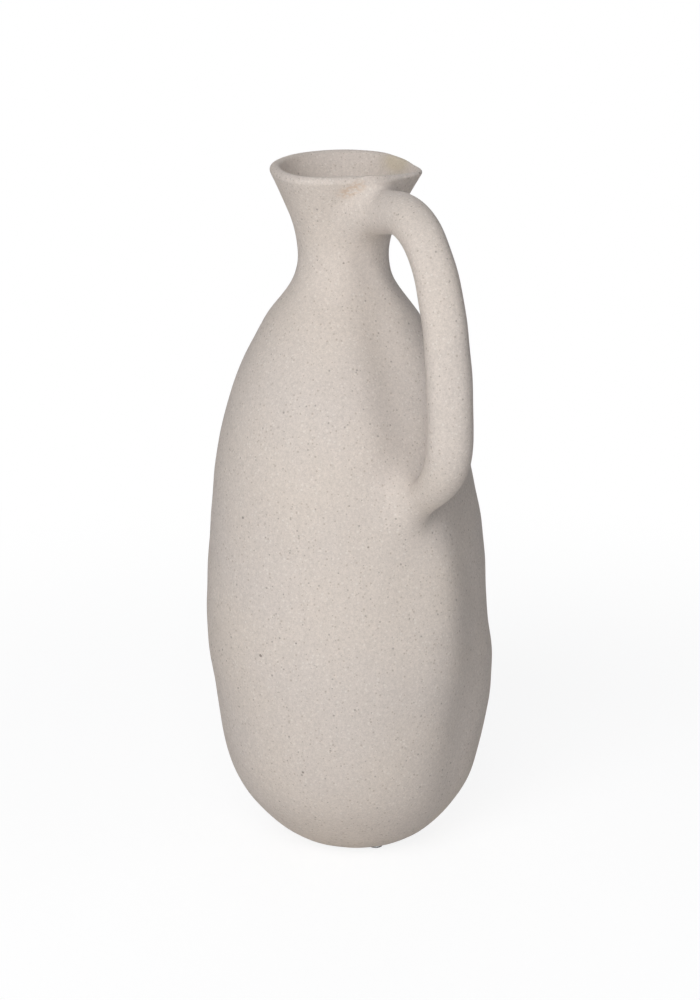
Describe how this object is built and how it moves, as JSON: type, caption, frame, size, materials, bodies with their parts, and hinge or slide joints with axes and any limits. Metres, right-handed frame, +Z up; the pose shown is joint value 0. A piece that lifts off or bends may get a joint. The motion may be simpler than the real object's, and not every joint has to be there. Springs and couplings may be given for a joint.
{
  "type": "ceramic jug",
  "caption": "Lopsided hand-built stoneware jug with a narrow neck, a mouth pinched to a pouring corner, a rolled loop handle from neck to shoulder, a glazed inside and clear bumper feet.",
  "frame": {"origin": "middle of the whole jug's box, on the table plane that its bumper feet stand on", "axes": "+X towards the handle, +Z up, +Y to the left of someone who looks along +X"},
  "size_m": [0.1845, 0.1466, 0.3532],
  "materials": {
    "stoneware": "matte speckled",
    "inner_glaze": "clear gloss",
    "clear_bumper": "clear satin"
  },
  "bodies": {
    "root": {"base_slab": "stoneware", "belly_wall": "stoneware", "shoulder_wall": "stoneware", "neck_collar": "stoneware", "pouring_lip": "stoneware", "glaze_lining": "inner_glaze", "handle_grip": "stoneware", "handle_top_joint": "stoneware", "handle_bottom_joint": "stoneware", "foot_pad_handle": "clear_bumper", "foot_pad_left": "clear_bumper", "foot_pad_right": "clear_bumper"}
  },
  "joints": []
}
